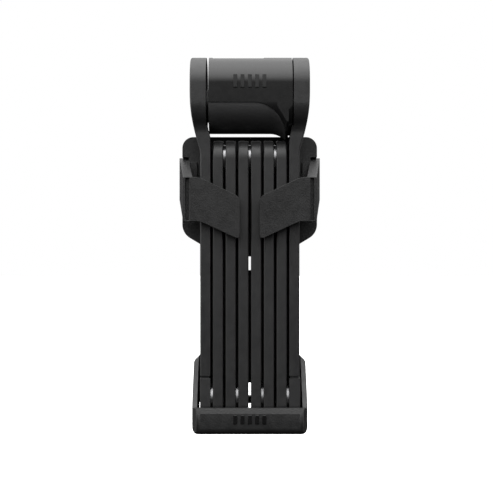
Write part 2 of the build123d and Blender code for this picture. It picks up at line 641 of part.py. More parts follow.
def spiral_point(turn, offset):
    """A point beside the spiral that the bolt's pin follows, at a turn of the cam in radians."""
    rate = BOLT_TRAVEL / (math.pi / 2)
    radius = BOLT_PIN_START + rate * turn
    angle = math.pi - turn
    across = math.atan2(rate, radius)
    x = radius * math.cos(angle) + offset * math.cos(angle + across)
    y = radius * math.sin(angle) + offset * math.sin(angle + across)
    return (x, y)


def spiral_groove():
    """The groove's outline: two curves beside the spiral, and a round end at each limit."""
    width = BOLT_PIN_RADIUS + BOLT_PIN_ROOM
    turns = [n * math.pi / 16 for n in range(9)]
    outer = Spline([spiral_point(t, width) for t in turns])
    inner = Spline([spiral_point(t, -width) for t in turns])
    band = make_face([outer, Line(outer @ 1, inner @ 1), inner, Line(inner @ 0, outer @ 0)])
    for turn in (turns[0], turns[-1]):
        band += Pos(*spiral_point(turn, 0)) * Circle(width)
    return band


def locking_bolt():
    """The bolt: a plate under the cam, with a bar that slides across behind the stud's head."""
    low, high = BOLT_PLATE
    front, back = BOLT_BAR
    bolt = block(BOLT_TIP, BOLT_TAIL, BOLT_PLATE_FRONT, back, low, high)
    bolt += block(BOLT_TIP, BOLT_TAIL, front, back, BOLT_BAR_BOTTOM, high)
    return bolt - rod_z(BOLT_PIN_RADIUS, low, high, x=-BOLT_PIN_START)


def bolt_pin():
    """The pin on the bolt that rides in the cam's groove."""
    top = CAM_HEIGHT[0] + CAM_GROOVE_DEPTH - PLAY
    return rod_z(BOLT_PIN_RADIUS, BOLT_PLATE[0], top, x=-BOLT_PIN_START)


def keyhole_cover():
    """The curved slide over the keyhole: a thin base under the lips, and a raised middle with grip ribs."""
    x0, x1 = SLIDER_RANGE
    top = INNER_RADIUS - SLIDER_ROOM
    slide = sector(top - SLIDER_THICKNESS, top, SLIDER_HALF_ANGLE, x0, x1)
    low = x0 + SLIDER_ROOM
    high = x1 - SLIDER_ROOM
    crown = BODY_RADIUS - SLIDER_CROWN_DROP
    rib_top = BODY_RADIUS - SLIDER_RIB_DROP
    rib_angle = SLIDER_RAISED_HALF_ANGLE - SLIDER_RIB_MARGIN
    half = SLIDER_RIB_WIDTH / 2
    slide += sector(top, crown, SLIDER_RAISED_HALF_ANGLE, low, high)
    for n in range(SLIDER_RIB_COUNT):
        rib_x = low + (n + 1) * (high - low) / (SLIDER_RIB_COUNT + 1)
        slide += sector(crown, rib_top, rib_angle, rib_x - half, rib_x + half)
    return slide


# ---- bracket ------------------------------------------------------------------------------------------
def mounting_slots(half_width, length, y0, y1):
    """The two upright slots, or anything of their shape round them."""
    slots = Part()
    for z in (SLOT_CENTRE_Z - SLOT_SPACING / 2, SLOT_CENTRE_Z + SLOT_SPACING / 2):
        outline = Pos(0, z) * SlotOverall(length, 2 * half_width, rotation=90)
        slots += prism_y(outline, y0, y1)
    return slots


def back_plate_outline():
    """The plate behind the stack: shoulders on top, a narrow spine, and the back of the cup."""
    plate = polygon(
        (-SHOULDER_HALF, SHOULDER_TOP),
        (SHOULDER_HALF, SHOULDER_TOP),
        (SHOULDER_HALF, SHOULDER_SIDE_BOTTOM),
        (SPINE_HALF, SHOULDER_BOTTOM),
        (SPINE_HALF, CUP_BOTTOM),
        (-SPINE_HALF, CUP_BOTTOM),
        (-SPINE_HALF, SHOULDER_BOTTOM),
        (-SHOULDER_HALF, SHOULDER_SIDE_BOTTOM),
    )
    upper = plate.vertices().group_by(Axis.Y)[-1]
    plate = fillet(upper, SHOULDER_CORNER)
    lower = [v for v in plate.vertices() if abs(v.Y - SHOULDER_SIDE_BOTTOM) < 0.01]
    plate = fillet(lower, SHOULDER_LOWER_CORNER)
    cup = Pos(0, (CUP_BOTTOM + CUP_BACK_TOP) / 2) * Rectangle(2 * CUP_HALF, CUP_BACK_TOP - CUP_BOTTOM)
    cup = chamfer(cup.vertices().group_by(Axis.Y)[-1], CUP_SIDE_CHAMFER)
    plate += cup
    corners = [v for v in plate.vertices() if abs(abs(v.X) - SPINE_HALF) < 0.01 and v.Y > 0]
    return fillet(corners, SPINE_FILLET)


def cup_side_outline():
    """The cup seen from the side, as (y, z): low in front, rising to the back plate."""
    plate_front, back = BACK_PLATE
    outline = polygon(
        (CUP_FRONT, CUP_BOTTOM),
        (CUP_FRONT, CUP_RIM - CUP_RIM_BEVEL),
        (CUP_INNER_FRONT - CUP_RIM_FLAT, CUP_RIM),
        (CUP_INNER_FRONT, CUP_RIM),
        *CUP_SIDE_RISE,
        (plate_front, CUP_BACK_TOP),
        (back, CUP_BACK_TOP),
        (back, CUP_BOTTOM),
    )
    toe = [v for v in outline.vertices() if v.X < CUP_FRONT + 0.01 and v.Y < CUP_BOTTOM + 0.01]
    return fillet(toe, CUP_TOE)


def cup_front_outline():
    """The cup seen from the front, as (x, z), with rounded bottom corners and cut top corners."""
    cup = Pos(0, (CUP_BOTTOM + CUP_BACK_TOP) / 2) * Rectangle(2 * CUP_HALF, CUP_BACK_TOP - CUP_BOTTOM)
    cup = fillet(cup.vertices().group_by(Axis.Y)[0], CUP_CORNER)
    return chamfer(cup.vertices().group_by(Axis.Y)[-1], CUP_SIDE_CHAMFER)


def cup_plan():
    """The cup seen from above, as (x, y), with rounded front corners."""
    back = BACK_PLATE[1]
    plan = Pos(0, (CUP_FRONT + back) / 2) * Rectangle(2 * CUP_HALF, back - CUP_FRONT)
    return fillet(plan.vertices().group_by(Axis.Y)[0], CUP_FRONT_CORNER)


def bracket_frame():
    """The moulded frame: back plate, spine and cup in one piece."""
    front, back = BACK_PLATE
    plate = prism_y(back_plate_outline(), front, back)
    cup = prism_x(cup_side_outline(), -CUP_HALF, CUP_HALF)
    cup &= prism_y(cup_front_outline(), CUP_FRONT, back)
    cup &= extrude(Plane.XY.offset(CUP_BOTTOM) * cup_plan(), CUP_BACK_TOP - CUP_BOTTOM)
    hollow = block(
        -CUP_INNER_HALF, CUP_INNER_HALF, CUP_INNER_FRONT, front, CUP_BOTTOM + CUP_FLOOR, CUP_BACK_TOP + PAST
    )
    plate = plate & block(-CUP_HALF * 2, CUP_HALF * 2, front, back, CUP_BOTTOM + CUP_CORNER, SHOULDER_TOP)
    frame = plate + (cup - hollow)
    frame -= mounting_slots(SLOT_WIDTH / 2, SLOT_LENGTH, front, back)
    seat_half, seat_depth = SLOT_SEAT
    rim = 2 * seat_half + SLOT_LENGTH - SLOT_WIDTH
    frame -= mounting_slots(seat_half, rim, front, front + seat_depth)
    half, low, high = DRAIN
    frame -= block(-half, half, front, back, low, high)
    inner, outer, low, high = CORNER_DRAIN
    for side in (-1, 1):
        frame -= block(side * inner, side * outer, front, back, low, high)
    frame -= wing_notches()
    return frame


def wing_notches():
    """What the wings take out of the back plate: a notch in each side, and holes for their studs."""
    front = BACK_PLATE[0]
    notch_inner = WING_BACK_OUTER - WING_SIDE - NOTCH_PLAY
    cut = Part()
    radius, *heights = WING_STUD
    foot_inner, _ = WING_FOOT
    stud_x = (foot_inner + notch_inner) / 2
    for side in (-1, 1):
        cut += block(
            side * notch_inner, side * SHOULDER_HALF * 2, front, WING_BACK + NOTCH_PLAY,
            WING_SIDE_BOTTOM - WING_SIDE, WING_SIDE_TOP + NOTCH_PLAY,
        )
        for z in heights:
            cut += rod_y(radius, front, WING_BACK, side * stud_x, z)
    return cut


def wing_plan():
    """A wing seen from above, as (x, y): side arm and panel in one bent strip."""
    face, inside = WING_FRONT
    back = WING_BACK
    return polygon(
        (WING_BACK_OUTER, back),
        (WING_FRONT_OUTER, face),
        (WING_INNER, face),
        (WING_INNER, inside),
        (WING_FRONT_OUTER - WING_SIDE, inside),
        (WING_BACK_OUTER - WING_SIDE, back),
    )


def wing_front_view():
    """A wing seen from the front, as (x, z)."""
    bend_x = WING_FRONT_OUTER - WING_SIDE
    outline = polygon(
        (WING_INNER, WING_INNER_BOTTOM),
        WING_BOTTOM_KNEE,
        (bend_x, WING_OUTER_BOTTOM),
        (WING_BACK_OUTER + PAST, WING_OUTER_BOTTOM),
        (WING_BACK_OUTER + PAST, WING_SIDE_TOP),
        (bend_x, WING_SIDE_TOP),
        (bend_x, WING_PANEL_TOP),
        (WING_TOP_KNEE, WING_PANEL_TOP),
        (WING_INNER, WING_INNER_TOP),
    )
    knee_places = (WING_TOP_KNEE, WING_BOTTOM_KNEE[0])
    knees = [v for v in outline.vertices() if min(abs(v.X - x) for x in knee_places) < 0.01]
    return fillet(knees, WING_KNEE_FILLET)


def wing_side_view():
    """A wing seen from the side, as (y, z): the side arm's edges fall towards the front."""
    face, inside = WING_FRONT
    return polygon(
        (WING_BACK, WING_SIDE_BOTTOM),
        (WING_BACK, WING_SIDE_TOP),
        (inside, WING_PANEL_TOP),
        (face, WING_PANEL_TOP),
        (face, WING_INNER_BOTTOM),
        (inside, WING_INNER_BOTTOM),
        (inside, WING_OUTER_BOTTOM),
    )


def wing():
    """The right wing: a side arm, a panel in front of the stack, and a foot with two studs."""
    height = WING_SIDE_TOP - WING_INNER_BOTTOM
    strip = extrude(Plane.XY.offset(WING_INNER_BOTTOM) * wing_plan(), height)
    strip &= prism_y(wing_front_view(), WING_FRONT[0], WING_BACK)
    strip &= prism_x(wing_side_view(), 0, WING_BACK_OUTER + PAST)
    tips = [e for e in strip.edges().filter_by(Axis.Y) if e.center().X < WING_INNER + 0.01]
    strip = fillet(tips, WING_CORNER)
    inner, outer, depth = WING_GROOVE
    strip -= block(inner, outer, WING_FRONT[0] - PAST, WING_FRONT[0] + depth, WING_INNER_BOTTOM, WING_SIDE_TOP)
    foot_inner, foot_thickness = WING_FOOT
    front = BACK_PLATE[0]
    notch_inner = WING_BACK_OUTER - WING_SIDE
    high = WING_SIDE_TOP - foot_thickness
    foot = block(foot_inner, notch_inner + PAST, front - foot_thickness, front, WING_SIDE_BOTTOM, high)
    radius, *heights = WING_STUD
    for z in heights:
        foot += rod_y(radius, front, WING_BACK, (foot_inner + notch_inner - NOTCH_PLAY) / 2, z)
    return strip + foot


def tray_pad():
    """The rubber pad on the floor of the cup, under the ends of the bars."""
    floor = CUP_BOTTOM + CUP_FLOOR
    pad = block(
        -CUP_INNER_HALF + PLAY, CUP_INNER_HALF - PLAY,
        CUP_INNER_FRONT + PLAY, BACK_PLATE[0] - PLAY, floor, PAD_TOP,
    )
    return pad


def rear_pad():
    """The thin rubber pad between the back plate and the stack."""
    half, low, high = REAR_PAD
    front = BAR_RADIUS + PAD_CLEARANCE
    outline = Pos(0, (low + high) / 2) * RectangleRounded(2 * half, high - low, PAD_CORNER)
    return prism_y(outline, front, BACK_PLATE[0])


# ---- everything -----------------------------------------------------------------------------------------
def build():
    """Every part, by name."""
    parts = {
        "bracket_frame": bracket_frame(),
        "right_wing": wing(),
        "left_wing": flip(wing()),
        "tray_pad": tray_pad(),
        "rear_pad": rear_pad(),
        "locking_stud": locking_stud(),
        "pivot_pin": pivot_pin(),
        "pivot_washer": pivot_washer(),
        "key_barrel": key_barrel(),
        "key_plug": key_plug(),
        "lock_discs": lock_discs(),
        "cam_disc": cam_disc(),
        "locking_bolt": locking_bolt(),
        "bolt_pin": bolt_pin(),
        "pin_keeper": pin_keeper(),
        "barrel_pin": barrel_pin(),
        "keyhole_cover": keyhole_cover(),
    }
    parts.update(build_arms())
    parts.update(build_body_shells())
    for i in range(1, LINK_COUNT + 1):
        parts[f"link_{i}_plate"] = link_plate(i)
        parts[f"link_{i}_coat"] = link_coat(i)
    for k in range(1, BAR_COUNT):
        parts[f"rivet_{k}"] = rivet(k)
        parts[f"washer_{k}"] = washer(k)
    return parts


def main():
    os.makedirs("parts", exist_ok=True)
    to_mount = Pos(0, -BACK_PLATE[1], -SLOT_CENTRE_Z)
    for name, shape in build().items():
        export_step(to_mount * shape, f"parts/{name}.step")


main()
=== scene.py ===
# %% [markdown]
# # Folding bike lock in its bracket
#
# The lock is eight flat bars riveted side by side and folded up like a carpenter's rule. A bracket holds
# them: a cup under their lower ends, and two springy wings in front. Nearly everything is black, so its
# looks live on how each black finish catches the light: satin mouldings, a soft coat, a semi-gloss cover
# and a powder-coated core, with small bright collars between the bars.

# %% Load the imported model
import json
import math

import bmesh
import bpy
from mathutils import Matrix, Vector


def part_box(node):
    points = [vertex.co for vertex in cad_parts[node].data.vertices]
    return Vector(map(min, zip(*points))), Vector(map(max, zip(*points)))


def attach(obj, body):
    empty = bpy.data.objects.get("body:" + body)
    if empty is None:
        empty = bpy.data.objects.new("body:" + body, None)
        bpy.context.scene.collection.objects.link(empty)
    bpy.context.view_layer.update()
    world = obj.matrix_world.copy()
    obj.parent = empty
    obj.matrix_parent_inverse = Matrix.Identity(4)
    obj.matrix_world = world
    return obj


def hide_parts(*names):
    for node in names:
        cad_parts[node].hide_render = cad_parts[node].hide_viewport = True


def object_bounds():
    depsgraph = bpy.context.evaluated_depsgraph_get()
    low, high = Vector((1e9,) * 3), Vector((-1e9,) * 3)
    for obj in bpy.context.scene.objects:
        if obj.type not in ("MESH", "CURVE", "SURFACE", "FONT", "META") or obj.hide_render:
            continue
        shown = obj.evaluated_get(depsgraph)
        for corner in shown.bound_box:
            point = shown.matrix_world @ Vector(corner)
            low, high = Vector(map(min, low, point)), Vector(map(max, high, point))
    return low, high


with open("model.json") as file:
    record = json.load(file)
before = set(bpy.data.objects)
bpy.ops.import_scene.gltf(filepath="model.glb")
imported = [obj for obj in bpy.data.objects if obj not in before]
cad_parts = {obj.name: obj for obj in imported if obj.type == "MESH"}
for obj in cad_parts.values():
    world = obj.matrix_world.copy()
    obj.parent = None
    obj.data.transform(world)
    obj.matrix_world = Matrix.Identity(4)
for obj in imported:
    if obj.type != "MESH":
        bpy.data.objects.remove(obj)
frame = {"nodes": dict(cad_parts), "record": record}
nodes = frame["nodes"]
cad_low, cad_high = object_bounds()

# %% [markdown]
# ## Working in edit mode from a script
#
# Blender's operators act on whatever is selected, and the loaded nodes start out selected. So every step
# deselects first. Inside edit mode the faces or edges to work on are then picked by a rule about their
# place or their normal, which does what the mouse would do by hand.

# %% Selecting objects, faces and edges
MM = 0.001
TINY = 0.00001
ALIGNED = 0.9                  # cosine of the angle up to which a face counts as pointing some way


def select_only(*objects):
    """Leave only these objects selected, the first of them active."""
    bpy.ops.object.select_all(action="DESELECT")
    for piece in objects:
        piece.select_set(True)
    bpy.context.view_layer.objects.active = objects[0]


def pick(piece, kind, rule):
    """In edit mode, leave selected only the faces or edges that the rule accepts."""
    bpy.ops.object.mode_set(mode="EDIT")
    bpy.ops.mesh.select_mode(type=kind)
    bpy.ops.mesh.select_all(action="DESELECT")
    work = bmesh.from_edit_mesh(piece.data)
    for part in work.faces if kind == "FACE" else work.edges:
        part.select_set(bool(rule(part)))
    work.select_flush_mode()
    bmesh.update_edit_mesh(piece.data)


def face_towards(direction, test=lambda middle: True):
    """A rule: faces that point this way, with their middle where the test says."""
    aim = Vector(direction)
    return lambda face: face.normal.dot(aim) > ALIGNED and test(face.calc_center_median())


def both_ends(test):
    """A rule: edges with both ends where the test says."""
    return lambda edge: all(test(v.co) for v in edge.verts)


# %% Edit mode's own moves
def pull(x, y, z):
    """Extrude what is selected along this vector."""
    bpy.ops.mesh.extrude_region_move(TRANSFORM_OT_translate={"value": (x, y, z)})


def round_edges(width, steps):
    """Round the selected edges."""
    bpy.ops.mesh.bevel(offset=width, segments=steps, affect="EDGES", clamp_overlap=True)


def leave_edit_mode():
    bpy.ops.object.mode_set(mode="OBJECT")


# %% Making objects
def add_object(name, data):
    """A new object in the scene that holds this mesh, lamp or camera."""
    thing = bpy.data.objects.new(name, data)
    bpy.context.scene.collection.objects.link(thing)
    return thing


def settle(piece):
    """Put the object's place, turn and size into its mesh, which leaves the object at the origin."""
    select_only(piece)
    bpy.ops.object.transform_apply(location=True, rotation=True, scale=True)


def start_box(name, low, high):
    """A cube primitive brought to the size and place between two corners."""
    bpy.ops.object.select_all(action="DESELECT")
    middle = [(a + b) / 2 for a, b in zip(low, high)]
    bpy.ops.mesh.primitive_cube_add(size=1, location=middle)
    piece = bpy.context.object
    piece.name = name
    piece.scale = [b - a for a, b in zip(low, high)]
    settle(piece)
    return piece


# %% [markdown]
# ## Soft edges
#
# A moulded or coated part has no razor edges: the tool's corners are rounded, and a coat creeps back from
# them. Those thin roundings catch the light and draw a fine line along each edge, which is most of what
# tells the eye that a black thing is solid. A Bevel modifier limited by angle rounds only real edges, and
# a Weighted Normal modifier after it keeps the flat faces beside them evenly lit.

# %% Bevel and smooth
SHARP = math.radians(35)


def soften(piece, width, steps=3):
    """Shade a piece smooth up to its sharp edges, and round those, with the flat faces kept flat."""
    select_only(piece)
    bpy.ops.object.shade_smooth_by_angle(angle=SHARP)
    bevel = piece.modifiers.new("soft_edges", "BEVEL")
    bevel.width = width
    bevel.segments = steps
    bevel.limit_method = "ANGLE"
    bevel.angle_limit = SHARP
    weights = piece.modifiers.new("flat_faces", "WEIGHTED_NORMAL")
    weights.keep_sharp = True
    for step in (bevel, weights):
        bpy.ops.object.modifier_apply(modifier=step.name)


# %% [markdown]
# ## Finishes
#
# Moulded black plastic is never quite black or quite smooth. The tool is spark-eroded, which prints a
# fine even grain on the part, and the skin varies a little in gloss where the melt cooled unevenly. So
# each finish is a Principled shader fed by three noises: a broad one for its tone, a finer one for its
# roughness, and the grain itself for its bump. They read Object coordinates, which stay with the piece
# when it moves.

# %% A finish from three noises
TONE_PATCH = 12                # broad patches of tone, in mm
GLOSS_PATCH = 5                # patches of gloss, in grains
TONE_STOPS = (0.35, 0.65)      # where in the noise the dark tone ends and the light one starts
GLOSS_RANGE = (0.3, 0.7)
BUMP_STRENGTH = 0.6


def noise(tree, place, size, detail):
    """A noise whose blotches are about this many millimetres across."""
    node = tree.nodes.new("ShaderNodeTexNoise")
    node.inputs["Scale"].default_value = 1 / (size * MM)
    node.inputs["Detail"].default_value = detail
    tree.links.new(place.outputs["Object"], node.inputs["Vector"])
    return node


def make_finish(name, dark, light, roughness, gloss_change, grain, depth, metallic=0.0):
    """Tone between two colours, roughness about a value, and a grain of this size and depth in mm."""
    material = bpy.data.materials.new(name)
    material.use_nodes = True
    tree = material.node_tree
    shader = tree.nodes["Principled BSDF"]
    shader.inputs["Metallic"].default_value = metallic
    place = tree.nodes.new("ShaderNodeTexCoord")

    tones = tree.nodes.new("ShaderNodeValToRGB")
    for stop, colour, position in zip(tones.color_ramp.elements, (dark, light), TONE_STOPS):
        stop.position = position
        stop.color = (*colour, 1)
    tree.links.new(noise(tree, place, TONE_PATCH, 4).outputs["Fac"], tones.inputs["Fac"])
    tree.links.new(tones.outputs["Color"], shader.inputs["Base Color"])

    levels = tree.nodes.new("ShaderNodeMapRange")
    levels.inputs["From Min"].default_value, levels.inputs["From Max"].default_value = GLOSS_RANGE
    levels.inputs["To Min"].default_value = roughness - gloss_change
    levels.inputs["To Max"].default_value = roughness + gloss_change
    tree.links.new(noise(tree, place, GLOSS_PATCH * grain, 3).outputs["Fac"], levels.inputs["Value"])
    tree.links.new(levels.outputs["Result"], shader.inputs["Roughness"])

    bump = tree.nodes.new("ShaderNodeBump")
    bump.inputs["Strength"].default_value = BUMP_STRENGTH
    bump.inputs["Distance"].default_value = depth * MM
    tree.links.new(noise(tree, place, grain, 2).outputs["Fac"], bump.inputs["Height"])
    tree.links.new(bump.outputs["Normal"], shader.inputs["Normal"])
    return material


COOL_TINT = 1.02               # blue against red and green, because these blacks are a little cold


def grey(value):
    """A nearly neutral grey of this brightness."""
    return (value, value, value * COOL_TINT)


# %% The finishes of this lock
FINISHES = {
    "frame_plastic": make_finish("frame_moulding", grey(0.0070), grey(0.0110), 0.46, 0.07, 0.7, 0.16),
    "wing_plastic": make_finish("wing_moulding", grey(0.0080), grey(0.0125), 0.44, 0.07, 0.6, 0.16),
    "pad_rubber": make_finish("pad_rubber", grey(0.0070), grey(0.0100), 0.80, 0.08, 0.8, 0.06),
    "arm_plastic": make_finish("arm_moulding", grey(0.0140), grey(0.0190), 0.40, 0.06, 0.6, 0.10),
    "cap_plastic": make_finish("cap_moulding", grey(0.0165), grey(0.0210), 0.46, 0.05, 0.45, 0.04),
    "coat_soft": make_finish("soft_coat", grey(0.0108), grey(0.0145), 0.50, 0.06, 0.6, 0.02),
    "cover_plastic": make_finish("cover_moulding", grey(0.0035), grey(0.0050), 0.23, 0.03, 0.5, 0.012),
    "core_coated": make_finish("core_powder_coat", grey(0.0210), grey(0.0280), 0.50, 0.07, 0.9, 0.12),
    "bar_steel": make_finish(
        "black_oxide_steel", grey(0.030), grey(0.045), 0.42, 0.06, 0.6, 0.02, metallic=0.7
    ),
    "bright_steel": make_finish("turned_steel", grey(0.19), grey(0.25), 0.30, 0.05, 0.4, 0.01, metallic=1.0),
    "cylinder_brass": make_finish(
        "nickelled_brass", (0.50, 0.47, 0.40), (0.58, 0.54, 0.46), 0.30, 0.05, 0.4, 0.01, metallic=1.0
    ),
}
print("finishes", len(FINISHES))

# %% Every node takes the finish of its slot
slot_of = {part["node"]: part["material_slot"] for part in frame["record"]["subparts"]}
body_of = {
    name: body for body, members in frame["record"]["behaviour"]["bodies"].items() for name in members
}


def finish_as(piece, slot):
    """Give a piece the finish of one of the record's slots."""
    piece.data.materials.clear()
    piece.data.materials.append(FINISHES[slot])


def put_in_place(piece, body, slot, *replaced):
    """Make a new piece ride on a body, take a slot's finish, and stand for CAD parts."""
    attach(piece, body)
    finish_as(piece, slot)
    if replaced:
        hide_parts(*replaced)


for name, node in nodes.items():
    finish_as(node, slot_of[name])
print("finished", len(nodes), "nodes")

# %% [markdown]
# ## The mouldings that keep their CAD shape
#
# The frame, the arms' covers and caps, the lock body's shells and key barrel, and the pads have the right
# form already. What they lack is the rounding of their edges. A live Bevel modifier can't be put on them,
# because a CAD part's mesh is never changed. Their own meshes are left as they are: each is copied, its
# loose triangles are merged into one skin with whole flat faces, and the copy is softened and stands for
# the part.

# %% Softened mouldings
NEARLY_FLAT = math.radians(0.5)
WELD = TINY / 10


def moulded_copy(name, width):
    """A copy of a CAD part as one clean skin with soft edges, which then stands for that part."""
    piece = add_object(name + "_moulded", nodes[name].data.copy())
    select_only(piece)
    bpy.ops.object.mode_set(mode="EDIT")
    bpy.ops.mesh.select_all(action="SELECT")
    bpy.ops.mesh.remove_doubles(threshold=WELD)
    bpy.ops.mesh.dissolve_limited(angle_limit=NEARLY_FLAT)
    leave_edit_mode()
    soften(piece, width)
    put_in_place(piece, body_of[name], slot_of[name], name)
    print(piece.name, len(piece.data.polygons), "faces")


SOFT_EDGES = {
    "bracket_frame": 0.45,
    "left_arm_cover": 0.30,
    "right_arm_cover": 0.30,
    "left_arm_end_cap": 0.25,
    "right_arm_end_cap": 0.25,
    "body_cover": 0.30,
    "body_core": 0.20,
    "keyhole_cover": 0.20,
    "key_barrel": 0.15,
    "tray_pad": 0.50,
    "rear_pad": 0.40,
}
for name, width in SOFT_EDGES.items():
    moulded_copy(name, width * MM)

# %% [markdown]
# ## The wings
#
# Each wing is one strip of tough plastic: an arm that stands forward beside the stack, a bend with a
# hinge groove just inside it, and a flat panel that springs shut over the bars. It could be a flat shape
# thickened with Solidify, but the arm and the panel differ in thickness. So it starts as a block at the
# bend, and the panel is pulled out of one side and the arm out of the back, as a modeller would do.

# %% Sizes of a wing
wing_low, wing_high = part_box("right_wing")
PANEL = 2.7 * MM
ARM = 4.7 * MM
WING_EDGE = 0.45 * MM
SPLAY = 3.35 * MM             # the arm leans out this much on its way back
RISE = 11.6 * MM              # and climbs this much
TOP_KNEE = 24.6 * MM
BOTTOM_KNEE = 22.5 * MM
TIP_TOP = 64.5 * MM
PANEL_BOTTOM = 52.7 * MM
BOTTOM_KNEE_Z = 52.0 * MM
bend_outer = wing_high.x - SPLAY
bend_inner = bend_outer - ARM
panel_top = wing_high.z - RISE
front = wing_low.y
inside = front + PANEL
PANEL_MIDDLE_Z = 58 * MM       # a height that runs between the panel's two long edges
print("panel", round((panel_top - wing_low.z) / MM, 1), "mm tall")


# %% From the bend to the tip
def slope_down(x):
    """Height of the panel's top edge, which falls in a straight line from the knee to the tip."""
    share = (TOP_KNEE - x) / (TOP_KNEE - wing_low.x)
    return panel_top + share * (TIP_TOP - panel_top)


wing = start_box("right_wing_moulded", (bend_inner, front, PANEL_BOTTOM), (bend_outer, inside, panel_top))
stations = [
    (TOP_KNEE, panel_top, PANEL_BOTTOM),
    (BOTTOM_KNEE, slope_down(BOTTOM_KNEE), BOTTOM_KNEE_Z),
    (wing_low.x, TIP_TOP, wing_low.z),
]
at = bend_inner
for x, top, bottom in stations:
    pick(wing, "FACE", face_towards((-1, 0, 0), lambda middle, at=at: abs(middle.x - at) < TINY))
    pull(x - at, 0, 0)
    for height, above in ((top, True), (bottom, False)):
        pick(
            wing, "EDGE",
            both_ends(lambda p, x=x, above=above: abs(p.x - x) < TINY and (p.z > PANEL_MIDDLE_Z) == above),
        )
        now = [v.co.z for v in bmesh.from_edit_mesh(wing.data).verts if v.select][0]
        bpy.ops.transform.translate(value=(0, 0, height - now))
    at = x
leave_edit_mode()
print("panel pulled out, faces", len(wing.data.polygons))

# %% [markdown]
# The two knees, where the panel's edges start to slope, are broad curves, and the tip has small round
# corners. Bevelling only the short edges that run through the panel's thickness rounds its outline and
# leaves the rest alone.

# %% Round the outline
KNEE_ROUND = 2.4 * MM
LOWER_KNEE_ROUND = 2.2 * MM
TIP_ROUND = 2.2 * MM
OUTLINE_STEPS = 6


def through_panel(x, test):
    """A rule: edges through the panel's thickness at this x, at heights that the test accepts."""
    place = both_ends(lambda p: abs(p.x - x) < TINY and test(p.z))
    return lambda edge: place(edge) and abs(edge.verts[0].co.y - edge.verts[1].co.y) > PANEL / 2


pick(wing, "EDGE", through_panel(TOP_KNEE, lambda z: z > PANEL_MIDDLE_Z))
round_edges(KNEE_ROUND, OUTLINE_STEPS)
pick(wing, "EDGE", through_panel(BOTTOM_KNEE, lambda z: z < PANEL_MIDDLE_Z))
round_edges(LOWER_KNEE_ROUND, OUTLINE_STEPS)
pick(wing, "EDGE", through_panel(wing_low.x, lambda z: True))
round_edges(TIP_ROUND, OUTLINE_STEPS)
leave_edit_mode()
print("outline rounded, faces", len(wing.data.polygons))

# %% [markdown]
# The arm comes out of the back of the block. It splays out and climbs on its way to the back plate, so
# one slanted extrusion gives its shape. The groove is a pocket: an inset face at the bend, pushed in.

# %% The arm and the groove
pick(wing, "FACE", face_towards((0, 1, 0), lambda middle: middle.x > bend_inner + ARM / 4))
pull(SPLAY, wing_high.y - inside, RISE)
GROOVE_INNER = 29.0 * MM
GROOVE_OUTER = 31.3 * MM
GROOVE_DEPTH = 1.9 * MM
GROOVE_MARGIN = 0.25 * MM
for x in (GROOVE_INNER, GROOVE_OUTER):
    pick(wing, "FACE", face_towards((0, -1, 0), lambda middle: middle.x > bend_inner))
    bpy.ops.mesh.bisect(plane_co=(x, 0, 0), plane_no=(1, 0, 0))
pick(wing, "FACE", face_towards((0, -1, 0), lambda middle: GROOVE_INNER < middle.x < GROOVE_OUTER))
bpy.ops.mesh.inset(thickness=GROOVE_MARGIN)
pull(0, GROOVE_DEPTH, 0)
leave_edit_mode()
print("arm and groove, faces", len(wing.data.polygons))

# %% The foot on the back plate
FOOT_SIDES = (26.5 * MM, 32.0 * MM)
FOOT_DEPTH = (5.4 * MM, 3.0 * MM)      # its front and back, in front of the arm's back end
FOOT_HEIGHT = (64.3 * MM, 83.2 * MM)
foot_low, foot_high = (
    (x, wing_high.y - depth, z) for x, depth, z in zip(FOOT_SIDES, FOOT_DEPTH, FOOT_HEIGHT)
)
foot = start_box("wing_foot", foot_low, foot_high)
select_only(wing, foot)
bpy.ops.object.join()
soften(wing, WING_EDGE)
print("right wing", len(wing.data.polygons), "faces")

# %% [markdown]
# The left wing is the same moulding turned over, so it is the finished right one mirrored. A mirror turns
# every face inside out, which is put right by recalculating its normals.

# %% The left wing
left = add_object("left_wing_moulded", wing.data.copy())
left.scale = (-1, 1, 1)
settle(left)
bpy.ops.object.mode_set(mode="EDIT")
bpy.ops.mesh.select_all(action="SELECT")
bpy.ops.mesh.normals_make_consistent(inside=False)
leave_edit_mode()
bpy.ops.object.shade_smooth_by_angle(angle=SHARP)
put_in_place(wing, "bracket", "wing_plastic", "right_wing")
put_in_place(left, "bracket", "wing_plastic", "left_wing")
print("wings", [round(v / MM, 1) for v in left.dimensions])

# %% [markdown]
# ## Grip ribs
#
# Where a maker would put a name, this lock has plain grip ribs: a short row on the front of the body's
# cover, for the thumb, and a row on the front of the cup. On the cup they are straight. On the cover they
# have to follow its rounded top, so a short block stands on the flat front, and its top face is spun about
# the axis of the round.

# %% One straight rib, and its row on the cup
RIB_COUNT = 5
RIB_PITCH = 3.5 * MM
RIB_WIDTH = 1.9 * MM
RIB_PROUD = 0.60 * MM
RIB_ROOT = 0.3 * MM
rib_x = [(i - (RIB_COUNT - 1) / 2) * RIB_PITCH for i in range(RIB_COUNT)]


def row_of(rib, name, body, slot):
    """Copies of a rib side by side as one piece."""
    copies = []
    for x in rib_x:
        copy = add_object(name, rib.data.copy())
        copy.location = (x, 0, 0)
        settle(copy)
        copies.append(copy)
    bpy.data.objects.remove(rib)
    select_only(*copies)
    bpy.ops.object.join()
    row = bpy.context.object
    put_in_place(row, body, slot)
    print(name, len(row.data.polygons), "faces")


